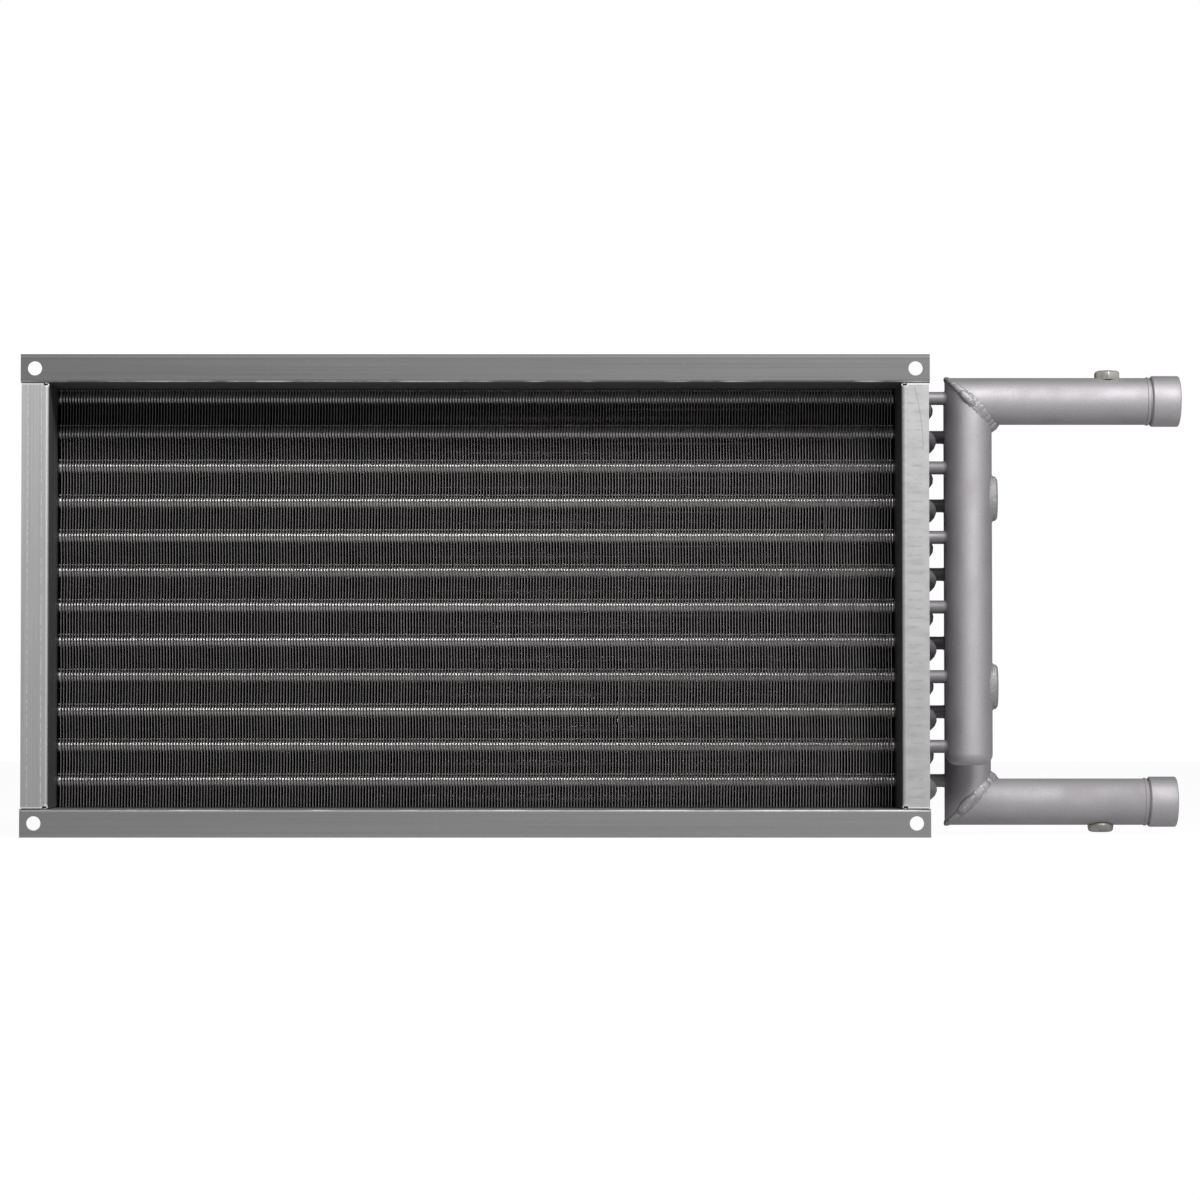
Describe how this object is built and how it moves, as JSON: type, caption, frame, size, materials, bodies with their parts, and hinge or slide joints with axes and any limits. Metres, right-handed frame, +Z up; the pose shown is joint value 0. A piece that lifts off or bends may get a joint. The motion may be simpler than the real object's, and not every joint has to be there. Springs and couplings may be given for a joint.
{
  "type": "duct water heating coil",
  "caption": "Flanged rectangular duct water heating coil: plate fins on staggered tube rows in a zinc-coated casing, with side headers and mitred pipe nozzles.",
  "frame": {"origin": "centre of the front flange's face, on the axis of the duct", "axes": "+X towards the headers, +Y along the air flow from the front flange to the rear one, +Z up"},
  "size_m": [0.8299, 0.17, 0.34],
  "materials": {
    "casing_zinc": "zinc-coated sheet steel",
    "fin_aluminium": "thin bright aluminium",
    "coil_silver": "silver paint on copper tube",
    "header_silver": "satin silver paint on steel pipe",
    "cap_silver": "satin silver paint",
    "plug_zinc": "bright zinc",
    "plug_brass": "dull raw metal"
  },
  "bodies": {
    "root": {"top_panel": "casing_zinc", "bottom_panel": "casing_zinc", "left_end_sheet": "casing_zinc", "right_end_sheet": "casing_zinc", "fin_pack": "fin_aluminium", "hairpins_front_row": "coil_silver", "hairpins_middle_row": "coil_silver", "hairpins_rear_row": "coil_silver", "return_bends_front": "coil_silver", "return_bends_rear": "coil_silver", "stubs_front": "coil_silver", "stubs_rear": "coil_silver", "front_header": "header_silver", "rear_header": "header_silver", "front_header_end": "header_silver", "rear_header_end": "header_silver", "upper_nozzle": "header_silver", "lower_nozzle": "header_silver", "upper_corner_weld": "header_silver", "lower_corner_weld": "header_silver", "upper_port_blank": "header_silver", "lower_port_blank": "header_silver", "upper_thread_cap": "cap_silver", "lower_thread_cap": "cap_silver", "vent_plug": "plug_zinc", "drain_plug": "plug_brass"}
  },
  "joints": []
}
